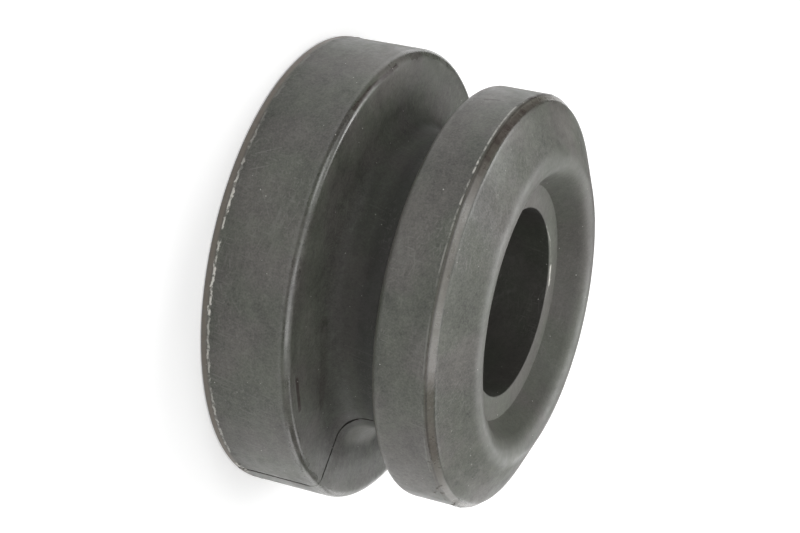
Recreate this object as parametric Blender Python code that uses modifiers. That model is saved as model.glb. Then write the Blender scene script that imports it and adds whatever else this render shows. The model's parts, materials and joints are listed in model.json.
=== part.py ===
"""Sway bar bushing: a moulded rubber spool, cut along one side so that it opens over the bar.

Metres, +Z up. The bushing stands on the flat end of its large flange. The origin is the middle of
that end, the bore runs along +Z, and the cut lies in the plane of +X and +Z.
"""

from math import acos, atan2, ceil, cos, dist, hypot, pi, radians, sin, tan

import bmesh
import bpy

# Bore and neck
BORE_DIAMETER = 0.0200
NECK_DIAMETER = 0.0322

# Large flange, from its flat end up to the groove
LARGE_FLANGE_DIAMETER = 0.0490
LARGE_FLANGE_THICKNESS = 0.00985
LARGE_RIM_RADIUS = 0.0008
END_EDGE_RADIUS = 0.0004
LARGE_PARTING_HEIGHT = 0.00097

# Groove, which takes the edge of the bracket plate
GROOVE_WIDTH = 0.0076
GROOVE_FILLET = 0.00265

# Small flange, with its straight rim
SMALL_FLANGE_DIAMETER = 0.0442
SMALL_RIM_HEIGHT = 0.00595
SMALL_RIM_RADIUS = 0.0011

# Nose: a steep bevel on the small flange's rim, then a shallow cone up to a rolled crest
BEVEL_WIDTH = 0.0006
BEVEL_HEIGHT = 0.0009
BEVEL_RIDGE_RADIUS = 0.0004
NOSE_RISE = 0.00338
CREST_RADIUS = 0.0024

# Dish: the wall that drops from the crest to the flat lip round the bore
DISH_DEPTH = 0.00288
DISH_RUN = 0.00323
LIP_WIDTH = 0.00258

# Parting lines of the mould, thin raised lines round both flanges
FLASH_HEIGHT = 0.00008
FLASH_WIDTH = 0.00024

# Cut, which runs in from the large end and stops short of the small flange
SLIT_WIDTH = 0.0003
SLIT_STOP_GAP = 0.0005

# How finely the round forms are divided
TURN_STEPS = 80
CHORD_ERROR = 0.00003
SHARP_ANGLE = radians(32.0)
SEAM_DISTANCE = 0.00001

# Share of the room at hand that a rounded edge may fill
ROOM = 0.97

# Spare length of the cutter past the surfaces that it leaves by
CUTTER_SPARE = 0.002

RUBBER_COLOUR = (0.083, 0.083, 0.078, 1.0)
RUBBER_ROUGHNESS = 0.62

# Heights that follow from the sizes above
GROOVE_FLOOR = LARGE_FLANGE_THICKNESS
GROOVE_CEILING = GROOVE_FLOOR + GROOVE_WIDTH
RIM_TOP = GROOVE_CEILING + SMALL_RIM_HEIGHT
CREST_TOP = RIM_TOP + NOSE_RISE
LIP_HEIGHT = CREST_TOP - DISH_DEPTH

# Radii that follow from the sizes above
BORE_RADIUS = BORE_DIAMETER / 2
NECK_RADIUS = NECK_DIAMETER / 2
LARGE_RADIUS = LARGE_FLANGE_DIAMETER / 2
SMALL_RADIUS = SMALL_FLANGE_DIAMETER / 2
LIP_RADIUS = BORE_RADIUS + LIP_WIDTH
CREST_AT_RADIUS = LIP_RADIUS + DISH_RUN


def clear_scene():
    """Remove everything that the file opens with."""
    for obj in list(bpy.data.objects):
        bpy.data.objects.remove(obj, do_unlink=True)


def new_collection(name):
    """A collection linked to the scene."""
    collection = bpy.data.collections.new(name)
    bpy.context.scene.collection.children.link(collection)
    return collection


def rubber():
    """Dull black-grey moulded rubber."""
    material = bpy.data.materials.new("moulded_rubber")
    material.use_nodes = True
    shader = material.node_tree.nodes["Principled BSDF"]
    shader.inputs["Base Color"].default_value = RUBBER_COLOUR
    shader.inputs["Roughness"].default_value = RUBBER_ROUGHNESS
    shader.inputs["Metallic"].default_value = 0.0
    return material


def arc(centre, radius, start, end):
    """Points (radius, height) along an arc, from one angle to the other, in radians.

    Angles are measured from the outward direction, and turn towards the nose.
    """
    finest = 2 * acos(max(0.0, 1 - CHORD_ERROR / radius))
    count = max(2, ceil(abs(end - start) / finest))
    angles = [start + (end - start) * i / count for i in range(count + 1)]
    return [(centre[0] + radius * cos(a), centre[1] + radius * sin(a)) for a in angles]


def crest_arc_radius():
    """The crest's radius, kept small enough to leave a wall between it and the lip."""
    reach = (DISH_RUN**2 + DISH_DEPTH**2) / (2 * DISH_DEPTH)
    return min(CREST_RADIUS, ROOM * DISH_RUN, ROOM * reach)


def touch_angle(centre, radius, point, side):
    """The angle at which a straight line from a point touches a circle, on its one side or its other."""
    out = point[0] - centre[0]
    up = point[1] - centre[1]
    return (atan2(up, out) + side * acos(radius / hypot(out, up))) % (2 * pi)


def rounded(before, corner, after, radius):
    """The arc that takes off an outer corner between two straight runs, no longer than they allow."""
    back = atan2(before[1] - corner[1], before[0] - corner[0])
    on = atan2(after[1] - corner[1], after[0] - corner[0])
    half_turn = ((back - on) % (2 * pi) - pi) / 2
    reach = min(radius * tan(half_turn), ROOM * dist(before, corner) / 2, ROOM * dist(corner, after) / 2)
    fitted = reach / tan(half_turn)
    facing = back - pi / 2
    foot = (corner[0] + reach * cos(back), corner[1] + reach * sin(back))
    centre = (foot[0] - fitted * cos(facing), foot[1] - fitted * sin(facing))
    return arc(centre, fitted, facing, facing - 2 * half_turn)


def nose_points():
    """The nose from the bore's edge: lip, dish wall, crest, cone and bevel."""
    crest_radius = crest_arc_radius()
    crest = (CREST_AT_RADIUS, CREST_TOP - crest_radius)
    lip_edge = (LIP_RADIUS, LIP_HEIGHT)
    rim = (SMALL_RADIUS, RIM_TOP)
    ridge = (SMALL_RADIUS - BEVEL_WIDTH, RIM_TOP + min(BEVEL_HEIGHT, ROOM * NOSE_RISE))
    wall = touch_angle(crest, crest_radius, lip_edge, -1)
    cone = touch_angle(crest, crest_radius, ridge, 1)
    points = [(BORE_RADIUS, LIP_HEIGHT), lip_edge]
    points += arc(crest, crest_radius, wall, pi / 2)
    points += arc(crest, crest_radius, pi / 2, cone)[1:]
    points += rounded(points[-1], ridge, rim, BEVEL_RIDGE_RADIUS)
    return points


def parting_line(radius, height):
    """The small ridge that the mould's joint leaves round a rim."""
    half = FLASH_WIDTH / 2
    return [(radius, height + half), (radius + FLASH_HEIGHT, height), (radius, height - half)]


def groove_points():
    """The groove: the small flange's lower edge, both fillets and the large flange's rim."""
    small_edge = min(SMALL_RIM_RADIUS, ROOM * (SMALL_RIM_HEIGHT - FLASH_WIDTH))
    large_edge = min(LARGE_RIM_RADIUS, ROOM * (LARGE_FLANGE_THICKNESS - LARGE_PARTING_HEIGHT))
    step = min(SMALL_RADIUS - small_edge, LARGE_RADIUS - large_edge) - NECK_RADIUS
    fillet = min(GROOVE_FILLET, ROOM * GROOVE_WIDTH / 2, ROOM * step)
    foot = NECK_RADIUS + fillet
    points = arc((SMALL_RADIUS - small_edge, GROOVE_CEILING + small_edge), small_edge, 0.0, -pi / 2)
    points += arc((foot, GROOVE_CEILING - fillet), fillet, pi / 2, pi)
    points += arc((foot, GROOVE_FLOOR + fillet), fillet, pi, 1.5 * pi)
    points += arc((LARGE_RADIUS - large_edge, GROOVE_FLOOR - large_edge), large_edge, pi / 2, 0.0)
    return points


def end_points():
    """The large flange's outer edge and flat end, in to the bore."""
    edge = min(END_EDGE_RADIUS, ROOM * (LARGE_PARTING_HEIGHT - FLASH_WIDTH / 2))
    return arc((LARGE_RADIUS - edge, edge), edge, 0.0, -pi / 2) + [(BORE_RADIUS, 0.0)]


def bushing_profile():
    """The closed section of the bushing as (radius, height), down its outer side."""
    points = nose_points()
    points += parting_line(SMALL_RADIUS, RIM_TOP - FLASH_WIDTH / 2)
    points += groove_points()
    points += parting_line(LARGE_RADIUS, LARGE_PARTING_HEIGHT)
    points += end_points()
    return points


def turned_object(name, profile, collection):
    """The profile turned once round +Z by a Screw modifier."""
    mesh = bpy.data.meshes.new(name)
    shape = bmesh.new()
    ring = [shape.verts.new((radius, 0.0, height)) for radius, height in profile]
    for first, second in zip(ring, ring[1:] + ring[:1]):
        shape.edges.new((first, second))
    shape.to_mesh(mesh)
    shape.free()
    obj = bpy.data.objects.new(name, mesh)
    collection.objects.link(obj)
    screw = obj.modifiers.new("turn", "SCREW")
    screw.axis = "Z"
    screw.angle = 2 * pi
    screw.steps = TURN_STEPS
    screw.render_steps = TURN_STEPS
    screw.use_merge_vertices = True
    screw.merge_threshold = SEAM_DISTANCE
    return obj


def slit_cutter(collection):
    """A thin upright blade that passes through one side, from the bore out past the large flange."""
    bottom = -CUTTER_SPARE
    top = GROOVE_CEILING - SLIT_STOP_GAP
    inner = BORE_RADIUS - CUTTER_SPARE
    outer = max(LARGE_RADIUS, SMALL_RADIUS) + CUTTER_SPARE
    mesh = bpy.data.meshes.new("slit_cutter")
    shape = bmesh.new()
    bmesh.ops.create_cube(shape, size=1.0)
    bmesh.ops.scale(shape, vec=(outer - inner, SLIT_WIDTH, top - bottom), verts=shape.verts)
    bmesh.ops.translate(shape, vec=((outer + inner) / 2, 0.0, (top + bottom) / 2), verts=shape.verts)
    shape.to_mesh(mesh)
    shape.free()
    obj = bpy.data.objects.new("slit_cutter", mesh)
    obj.hide_render = True
    obj.display_type = "WIRE"
    collection.objects.link(obj)
    return obj


def cut(obj, cutter):
    """Take the cutter's shape out of the object."""
    boolean = obj.modifiers.new("slit", "BOOLEAN")
    boolean.operation = "DIFFERENCE"
    boolean.solver = "EXACT"
    boolean.object = cutter


def finish_surface(obj, material):
    """Turn the modifiers into a plain mesh, shade it smooth between its edges and give it its rubber."""
    graph = bpy.context.evaluated_depsgraph_get()
    mesh = bpy.data.meshes.new_from_object(obj.evaluated_get(graph))
    obj.modifiers.clear()
    obj.data = mesh
    mesh.name = obj.name
    mesh.shade_smooth()
    mesh.set_sharp_from_angle(angle=SHARP_ANGLE)
    mesh.materials.clear()
    mesh.materials.append(material)


def main():
    clear_scene()
    parts = new_collection("sway_bar_bushing")
    cutters = new_collection("cutters")
    bushing = turned_object("bushing", bushing_profile(), parts)
    cut(bushing, slit_cutter(cutters))
    bpy.context.view_layer.update()
    finish_surface(bushing, rubber())


main()
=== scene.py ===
"""Looks of a sway bar bushing: moulded rubber, its knife cut, torn flash, dust and a plain studio.

Metres, +Z up. The bushing stands on the flat end of its large flange, the bore runs along +Z, and
the cut lies in the plane of +X and +Z.
"""

import json
from math import acos, atan2, ceil, cos, hypot, pi, radians, sin, tan

import bpy
from bpy.props import FloatProperty, FloatVectorProperty, IntProperty, PointerProperty
from mathutils import Matrix, Quaternion, Vector
from mathutils.bvhtree import BVHTree


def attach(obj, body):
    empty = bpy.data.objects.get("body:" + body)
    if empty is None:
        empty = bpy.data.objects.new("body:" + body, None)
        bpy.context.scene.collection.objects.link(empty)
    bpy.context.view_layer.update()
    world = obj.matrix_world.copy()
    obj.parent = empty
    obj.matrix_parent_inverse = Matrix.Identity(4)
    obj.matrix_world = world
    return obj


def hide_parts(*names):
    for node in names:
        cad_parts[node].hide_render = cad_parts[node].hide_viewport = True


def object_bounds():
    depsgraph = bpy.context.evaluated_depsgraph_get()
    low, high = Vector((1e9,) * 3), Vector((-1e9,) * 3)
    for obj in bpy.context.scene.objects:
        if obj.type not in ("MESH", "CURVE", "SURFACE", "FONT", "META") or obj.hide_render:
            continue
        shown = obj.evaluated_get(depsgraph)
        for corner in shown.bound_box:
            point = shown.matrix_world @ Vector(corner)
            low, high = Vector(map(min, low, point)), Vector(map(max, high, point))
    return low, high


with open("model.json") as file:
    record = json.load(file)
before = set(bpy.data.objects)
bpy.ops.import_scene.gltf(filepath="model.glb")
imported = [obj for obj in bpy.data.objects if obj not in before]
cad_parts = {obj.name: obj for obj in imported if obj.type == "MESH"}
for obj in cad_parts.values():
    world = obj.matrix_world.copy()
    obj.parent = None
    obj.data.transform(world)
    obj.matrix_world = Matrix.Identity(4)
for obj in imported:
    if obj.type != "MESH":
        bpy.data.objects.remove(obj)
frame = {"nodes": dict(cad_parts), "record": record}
cad_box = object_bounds()

bl_info = {
    "name": "Sway Bar Bushing",
    "version": (1, 0, 0),
    "blender": (4, 5, 0),
    "location": "3D View > Sidebar > Bushing",
    "description": "Builds a moulded rubber sway bar bushing with its studio",
    "category": "Object",
}

# Names of the CAD node that the rubber stands for, and of its body
CAD_NODE = "bushing"
BODY = "root"

# The picture's size in pixels, which the camera's framing is worked out from
PICTURE_WIDTH = 800
PICTURE_HEIGHT = 533
SENSOR_WIDTH_MM = 36.0

# Pixels of the picture where pale dust lies on the rubber, with each speck's girth
DUST_SEEN = (
    (505, 170, 1.3), (443, 189, 1.4), (375, 214, 1.2), (362, 128, 1.1), (476, 164, 1.3), (475, 168, 1.0),
    (261, 450, 1.4), (470, 448, 1.0), (470, 455, 1.3), (471, 464, 1.2), (487, 445, 1.5), (345, 63, 1.0),
    (353, 77, 1.2), (392, 68, 1.0), (260, 189, 1.2), (252, 175, 0.9), (335, 134, 1.1), (297, 381, 1.2),
    (214, 382, 1.0), (318, 369, 0.8), (582, 226, 0.9), (478, 266, 1.0), (221, 432, 0.9),
)

# Pixels of the picture where torn flash stands out, with each crumb's girth
CRUMBS_SEEN = (
    (240, 467, 1.0), (243, 469, 0.9), (239, 464, 0.9), (246, 470, 0.8), (429, 462, 0.8), (430, 470, 0.9),
    (437, 489, 1.3), (440, 486, 1.0), (442, 493, 1.0), (434, 492, 0.8), (453, 504, 1.0),
)

# Streaks on the rubber by their colours: their ends as pixels, their reach in metres, how much they cover
# and how much of that is left where they break up
STREAKS_SEEN = {
    "torn": (
        ((547.5, 226), (551, 240), 0.00024, 0.6, 0.2), ((551, 240), (552, 262), 0.00022, 0.5, 0.2),
        ((551.5, 266), (550, 284), 0.00036, 1.0, 0.6), ((550, 284), (546, 298), 0.00024, 0.5, 0.2),
        # From (355, 432) to (374, 431): a painted pool of light on the neck below the knife cut, in the
        # colour of torn flash
        ((546, 298), (531, 350), 0.00022, 0.25, 0.2), ((355, 432), (374, 431), 0.00230, 0.17, 0.9),
        ((237, 463), (247, 471), 0.00045, 0.8, 0.0),
    ),
    "stain": (
        # Painted dark reflection: a dark line along the top of the large flange's inner rim
        ((354, 108), (371, 87), 0.00034, 0.85, 0.8), ((371, 87), (397, 65), 0.00030, 0.85, 0.8),
        ((484, 99), (499, 100), 0.00018, 0.6, 0.7), ((528, 99), (538, 95), 0.00026, 0.9, 0.8),
        # From (541, 100.5) to (479.5, 173): painted dark reflection, a band along the small flange's bevel
        ((538, 95), (549, 95), 0.00024, 0.8, 0.8), ((541, 100.5), (522.5, 112), 0.00055, 0.50, 0.8),
        ((522.5, 112), (507, 127.5), 0.00060, 0.60, 0.8), ((507, 127.5), (496.5, 141), 0.00060, 0.60, 0.8),
        ((496.5, 141), (487, 158), 0.00055, 0.50, 0.8), ((487, 158), (479.5, 173), 0.00045, 0.35, 0.8),
        # Painted shade: a dark line at the root of the groove's lower face, and the dark knife cut across the
        # neck up to (371, 420)
        ((323, 320), (321, 405), 0.00070, 0.22, 0.8), ((349, 421), (357, 419.5), 0.00022, 0.9, 0.8),
        # Painted shade in the nick, from (296.5, 380) to (299.4, 409), beside the nick's own cut
        ((363, 418.5), (371, 420), 0.00022, 0.9, 0.8), ((296.5, 380), (299.4, 409), 0.00042, 0.95, 0.8),
    ),
    "bloom": (
        ((249, 169), (268, 165), 0.00009, 0.6, 0.3), ((255, 153), (281, 147), 0.00009, 0.6, 0.3),
        ((262, 190), (269, 217), 0.00012, 0.4, 0.3), ((232, 300), (243, 318), 0.00010, 0.3, 0.3),
        # Painted highlight: a broad pale streak along the lower part of the large flange's inner rim
        ((290.5, 308), (287.5, 340), 0.00050, 0.45, 0.7), ((287.5, 340), (288.5, 376), 0.00050, 0.35, 0.7),
        ((294, 376), (297, 409), 0.00014, 0.5, 0.5),
    ),
}

# Stretches of the parting lines where the flash is torn, as pixels, with how white each is, and how far
# from the middle of a stretch its white reaches
FLASH_SEEN = (
    ((260, 113), (249, 144), 0.35), ((242, 161), (235, 180), 0.5), ((235, 180), (228, 203), 0.9),
    ((228, 203), (222, 225), 0.9), ((219, 243), (214, 265), 0.8), ((214, 268), (208, 310), 1.0),
    ((208, 312), (208, 355), 0.55), ((208, 355), (217, 422), 0.6), ((221, 430), (228, 450), 0.5),
    ((515, 108), (498, 127), 0.55), ((498, 127), (477, 162), 0.60), ((476, 163), (474, 169), 0.95),
    ((470, 183), (461, 203), 0.45), ((461, 203), (451, 233), 0.35), ((451, 233), (441, 270), 0.20),
)
FLASH_REACH = 0.0006

# Nicks cut into the rubber, as the pixels of their ends, with their girth and their depth in metres
NICKS_SEEN = (((296.5, 378), (299.6, 411), 0.00026, 0.00012),)
NICK_STEPS = 8
NICK_SIDES = 8

# The knife's blade: how it is divided along and up, and how far it passes the surfaces that it leaves by
BLADE_COLUMNS = 60
BLADE_ROWS = 70
BLADE_SPARE = 0.002

# Where the turned grid closes, and where its faces meet in an edge and not in a curve
SEAM_DISTANCE = 1e-6
SHARP_ANGLE = radians(36.0)

# Sizes and strengths of the rubber's light and dark patches, and of those drawn out round the bore
MOTTLE = ((0.00018, 0.95), (0.0004, 0.60), (0.0012, 0.40), (0.0040, 0.55), (0.0110, 0.60))
RING_MOTTLE = ((0.0008, 0.30), (0.0028, 0.50))
RING_STRETCH = 3.5

# Hair scratches: the ways they run, and how many waves of their noise fit in a metre across and along
HAIR_WAYS = ((0.93, 0.32, 0.16), (0.90, 0.31, -0.28), (0.10, 0.15, 0.98))
HAIR_ACROSS = 5200.0
HAIR_ALONG = 240.0

# Clean rubber's specular level, what rubbing adds to it and what share of it the dark streaks take, which are
# partly real marks and partly painted shade
CLEAN_GLOSS = 0.5
RUBBED_GLOSS = 0.5
STAIN_AND_SHADE_DULLS = 0.35

# How dark the painted shade deep in the groove, on the bore's wall and in the crease is, beside clean rubber
GROOVE_PAINTED_SHADE = 0.50
BORE_SHADE = 0.62
CREASE_SHADE = 0.6

# The bump of the rubber's grain: its depth in metres, and its strength on dull and on rubbed rubber
BUMP_DEPTH = 0.00004
BUMP_STRENGTH = 0.45
RUBBED_CALM = 0.30

# The forms of the flakes: their common breadth, then each kind's length, thickness, unevenness and the seed
# of its random draws
FLAKE_BREADTH = 0.7
CRUMB_FORM = {"Stretch": 1.9, "Flatness": 0.45, "Roughness": 1.3, "Seed": 3}
DUST_FORM = {"Stretch": 1.0, "Flatness": 0.4, "Roughness": 0.9, "Seed": 11}


def height_of(name):
    """The height of one of the record's mounts."""
    mounts = frame["record"]["mounts"]
    return next(m["pos_m"][2] for m in mounts if m["name"] == name)


def length(name, description, default):
    """A size property in metres."""
    return FloatProperty(
        name=name, description=description, default=default, min=0.0, unit="LENGTH", precision=5
    )


def level(name, description, default, most=1e6):
    """A plain number property, none below 0."""
    return FloatProperty(name=name, description=description, default=default, min=0.0, max=most)


def colour(name, description, default):
    """A linear colour property."""
    return FloatVectorProperty(
        name=name, description=description, default=default, min=0.0, max=1.0, subtype="COLOR"
    )


def point(name, description, default):
    """A property for a point in space."""
    return FloatVectorProperty(
        name=name, description=description, default=default, subtype="TRANSLATION", precision=5
    )


class BushingShape(bpy.types.PropertyGroup):
    bore_radius: length("Bore Radius", "Radius of the bore that takes the bar", 0.01010)
    neck_radius: length("Neck Radius", "Radius of the groove's round neck", 0.0161)
    large_radius: length("Large Flange Radius", "Radius of the large flange", 0.02452)
    small_radius: length("Small Flange Radius", "Radius of the small flange", 0.02214)
    groove_floor: length("Groove Floor", "Height of the groove's lower face", height_of("groove_floor"))
    groove_ceiling: length("Groove Ceiling", "Height of the groove's upper face", height_of("groove_ceiling"))
    groove_fillet: length("Groove Fillet", "Radius at the foot of the groove's walls", 0.00265)
    large_rim: length("Large Rim", "Rounding of the large flange's inner rim", 0.0010)
    small_rim: length("Small Rim", "Rounding of the small flange's inner rim", 0.0011)
    end_edge: length("End Edge", "Rounding of the edge round the flat end", 0.0004)
    bore_edge: length("Bore Edge", "Rounding at both ends of the bore", 0.00010)
    rim_top: length("Rim Top", "Height at which the small flange's straight rim ends", 0.0234)
    bevel_width: length("Bevel Width", "How far the steep bevel above the rim leans in", 0.0006)
    bevel_height: length("Bevel Height", "Height of the steep bevel above the rim", 0.0009)
    ridge: length("Ridge", "Rounding between the bevel and the nose's cone", 0.0004)
    nose_rise: length("Nose Rise", "Rise of the nose from the rim to the crest", 0.00338)
    crest: length("Crest", "Radius of the rolled crest", 0.0024)
    dish_depth: length("Dish Depth", "Drop from the crest to the lip", 0.00303)
    dish_run: length("Dish Run", "Distance from the lip's edge out to the crest", 0.00323)
    lip_width: length("Lip Width", "Width of the flat lip round the bore", 0.00258)
    parting_height: length("Parting Height", "Height of the mould's lower parting line", 0.00097)
    parting_width: length("Parting Width", "Width of the thin raised parting lines", 0.00028)
    parting_rise: length("Parting Rise", "How far the parting lines stand out", 0.00006)
    crease_width: length("Crease Width", "Width of the crease above the small flange's parting line", 0.00040)
    spacing: length("Spacing", "Distance between the section's points on straight runs", 0.0006)
    turn_steps: IntProperty(name="Turn Steps", description="Steps round the bore", default=320, min=24)


class BushingRelief(bpy.types.PropertyGroup):
    depth: length("Relief Depth", "Depth of the moulded surface's slow unevenness", 0.00004)
    size: length("Relief Size", "Width of the slow unevenness", 0.006)
    ragged_size: length("Ragged Size", "Length of the breaks in the parting lines", 0.0011)
    cut_width: length("Cut Width", "Width of the knife cut along its straight runs", 0.00026)
    cut_gape: length("Cut Gape", "Extra width where the cut gapes at the neck", 0.00028)
    cut_wander: length("Cut Wander", "How far the cut strays from its plane", 0.00012)
    cut_stop: length("Cut Stop", "Distance below the groove's ceiling at which the cut ends", 0.0005)
    dust_size: length("Dust Size", "Radius of a common dust speck", 0.000070)
    dust_per_area: level("Dust Density", "Loose specks in a square metre of rubber", 30000.0)
    crumb_size: length("Crumb Size", "Radius of a common crumb of torn flash", 0.00016)


class BushingRubber(bpy.types.PropertyGroup):
    green_grey: colour("Green Grey", "Rubber where it looks slightly green", (0.0985, 0.1035, 0.085))
    violet_grey: colour("Violet Grey", "Rubber where it looks slightly violet", (0.105, 0.1005, 0.0905))
    # This pale colour is also laid on as a painted highlight along the large flange's inner rim
    bloom: colour("Bloom", "Pale film that lies in clouds on the rubber", (0.190, 0.188, 0.172))
    # This colour is also laid on the steep bevel, partly as a painted highlight
    trimmed_and_highlight: colour("Trimmed Edge", "Trimmed strip below the lower parting line", (0.210, 0.180, 0.150))
    worn: colour("Worn Flash", "Worn edge of the parting lines", (0.20, 0.197, 0.18))
    # This colour is also laid on as a painted pool of light on the neck below the knife cut
    torn: colour("Torn Flash", "Freshly broken edge of the parting lines", (0.78, 0.76, 0.70))
    # This dark reddish colour is partly real marks and partly painted shade in the cut, the nick and the
    # groove, and painted dark reflections on the rims
    stain: colour("Stain", "Dark reddish stain in streaks", (0.045, 0.033, 0.029))
    crumbs: colour("Crumbs", "Crumbs of rubber that hang on torn flash", (0.25, 0.24, 0.22))
    dust: colour("Dust", "Loose pale dust", (0.50, 0.49, 0.46))
    film_strength: level("Film Strength", "How much the pale film covers", 0.75, 1.0)
    roughness: level("Roughness", "Roughness of clean rubber", 0.42, 1.0)
    polish: level("Polish", "How much smoother the rubbed rims are", 0.18, 0.4)


class BushingStudio(bpy.types.PropertyGroup):
    camera_place: point("Camera Place", "Where the camera stands", (0.064567, -0.191078, 0.091681))
    camera_aim: point("Camera Aim", "The point in the picture's middle", (-0.002245, 0.002959, 0.008859))
    camera_roll: FloatProperty(
        name="Camera Roll", description="Turn about the view", default=radians(102.26), unit="ROTATION"
    )
    camera_lens: FloatProperty(name="Lens", description="Focal length", default=91.06, min=1.0, unit="CAMERA")
    floor_size: length("Floor Size", "Side of the square floor", 12.0)
    floor_shade: level("Floor Shade", "Grey of the floor", 0.83, 1.0)
    floor_lift: level("Floor Lift", "Extra light that the camera and reflections see on the floor", 0.34)
    sky_level: level("Sky Level", "Brightness all round, where 1 is white", 0.05)
    softbox_size: length("Softbox Size", "Side of each square softbox", 0.36)
    softbox_distance: length("Softbox Distance", "Distance of the softboxes from the bushing", 0.80)
    key_level: level("Key Level", "Brightness of the main softbox", 2.35)
    side_level: level("Side Level", "Brightness of the two softboxes on the camera's other side", 0.75)
    overhead_level: level("Overhead Level", "Brightness of the ring of softboxes overhead", 0.65)
    rear_level: level("Rear Level", "Brightness of the three softboxes behind", 2.1)
    low_level: level("Low Level", "Brightness of the three low softboxes behind", 1.8)
    edge_level: level("Edge Level", "Brightness of the small softbox that lights the rims", 2.8)
    cone_level: level("Cone Level", "Brightness of the softbox that the nose's cone mirrors", 3.4)
    crest_level: level("Crest Level", "Brightness of the small softbox that lights the crest", 1.1)


class Section:
    """A closed section round the bore, as a chain of (radius, height) points."""

    def __init__(self, start, spacing):
        self.points = [start]
        self.raised = [0.0]
        self.spacing = spacing

    def add(self, point, raised=0.0):
        self.points.append(point)
        self.raised.append(raised)

    def line(self, end):
        """A straight run, divided evenly."""
        start = self.points[-1]
        run = hypot(end[0] - start[0], end[1] - start[1])
        count = max(1, ceil(run / self.spacing))
        for i in range(1, count + 1):
            share = i / count
            self.add((start[0] + (end[0] - start[0]) * share, start[1] + (end[1] - start[1]) * share))

    def arc(self, centre, radius, start, end):
        """An arc, with its angles measured from the outward direction towards the nose."""
        self.line((centre[0] + radius * cos(start), centre[1] + radius * sin(start)))
        finest = max(radians(5.0), min(radians(15.0), 0.4 * self.spacing / radius))
        count = max(2, ceil(abs(end - start) / finest))
        for i in range(1, count + 1):
            angle = start + (end - start) * i / count
            self.add((centre[0] + radius * cos(angle), centre[1] + radius * sin(angle)))

    def rounded(self, corner, after, radius):
        """A straight run to an outer corner, which is rounded off before the next run."""
        before = self.points[-1]
        back = atan2(before[1] - corner[1], before[0] - corner[0])
        on = atan2(after[1] - corner[1], after[0] - corner[0])
        half_turn = ((back - on) % (2 * pi) - pi) / 2
        reach = radius * tan(half_turn)
        facing = back - pi / 2
        foot = (corner[0] + reach * cos(back), corner[1] + reach * sin(back))
        centre = (foot[0] - radius * cos(facing), foot[1] - radius * sin(facing))
        self.arc(centre, radius, facing, facing - 2 * half_turn)

    def parting_line(self, height, width):
        """A thin ridge round a rim: its tip is raised by the node tree."""
        radius = self.points[-1][0]
        if self.points[-1][1] > height + width / 2:
            self.line((radius, height + width / 2))
        self.add((radius, height), 1.0)
        self.add((radius, height - width / 2))


def touch_angle(centre, radius, point, side):
    """The angle at which a straight line from a point touches a circle, on its one side or its other."""
    out = point[0] - centre[0]
    up = point[1] - centre[1]
    return (atan2(up, out) + side * acos(radius / hypot(out, up))) % (2 * pi)


def bushing_section(shape):
    """The bushing's section, down its outer side from the nose to the flat end and back up the bore."""
    crest_top = shape.rim_top + shape.nose_rise
    lip_height = crest_top - shape.dish_depth
    lip_edge = (shape.bore_radius + shape.lip_width, lip_height)
    crest = (lip_edge[0] + shape.dish_run, crest_top - shape.crest)
    ridge = (shape.small_radius - shape.bevel_width, shape.rim_top + shape.bevel_height)
    crease_top = shape.rim_top + shape.crease_width
    lean = shape.bevel_width / shape.bevel_height
    bevel_end = (shape.small_radius - lean * shape.crease_width, crease_top)
    wall = touch_angle(crest, shape.crest, lip_edge, -1)
    cone = touch_angle(crest, shape.crest, ridge, 1)
    bore = shape.bore_radius
    edge = shape.bore_edge
    section = Section((bore, lip_height - edge), shape.spacing)
    section.arc((bore + edge, lip_height - edge), edge, pi, pi / 2)
    section.line(lip_edge)
    section.arc(crest, shape.crest, wall, cone)
    section.rounded(ridge, bevel_end, shape.ridge)
    section.line(bevel_end)
    section.add((shape.small_radius, shape.rim_top + shape.crease_width / 2), -1.0)
    section.add((shape.small_radius, shape.rim_top))
    section.parting_line(shape.rim_top - shape.parting_width / 2, shape.parting_width)
    small_rim = (shape.small_radius - shape.small_rim, shape.groove_ceiling + shape.small_rim)
    section.arc(small_rim, shape.small_rim, 0.0, -pi / 2)
    foot = shape.neck_radius + shape.groove_fillet
    section.arc((foot, shape.groove_ceiling - shape.groove_fillet), shape.groove_fillet, pi / 2, pi)
    section.arc((foot, shape.groove_floor + shape.groove_fillet), shape.groove_fillet, pi, 1.5 * pi)
    large_rim = (shape.large_radius - shape.large_rim, shape.groove_floor - shape.large_rim)
    section.arc(large_rim, shape.large_rim, pi / 2, 0.0)
    section.parting_line(shape.parting_height, shape.parting_width)
    section.arc((shape.large_radius - shape.end_edge, shape.end_edge), shape.end_edge, 0.0, -pi / 2)
    section.arc((bore + edge, edge), edge, -pi / 2, -pi)
    section.line(section.points[0])
    return section


class Value:
    """A node's output, which sums, differences, products and quotients turn into further nodes."""

    def __init__(self, sheet, socket):
        self.sheet = sheet
        self.socket = socket

    def __add__(self, other):
        return self.sheet.math("ADD", self, other)

    def __sub__(self, other):
        return self.sheet.math("SUBTRACT", self, other)

    def __rsub__(self, other):
        return self.sheet.math("SUBTRACT", other, self)

    def __mul__(self, other):
        return self.sheet.math("MULTIPLY", self, other)

    def __rtruediv__(self, other):
        return self.sheet.math("DIVIDE", other, self)


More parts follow.
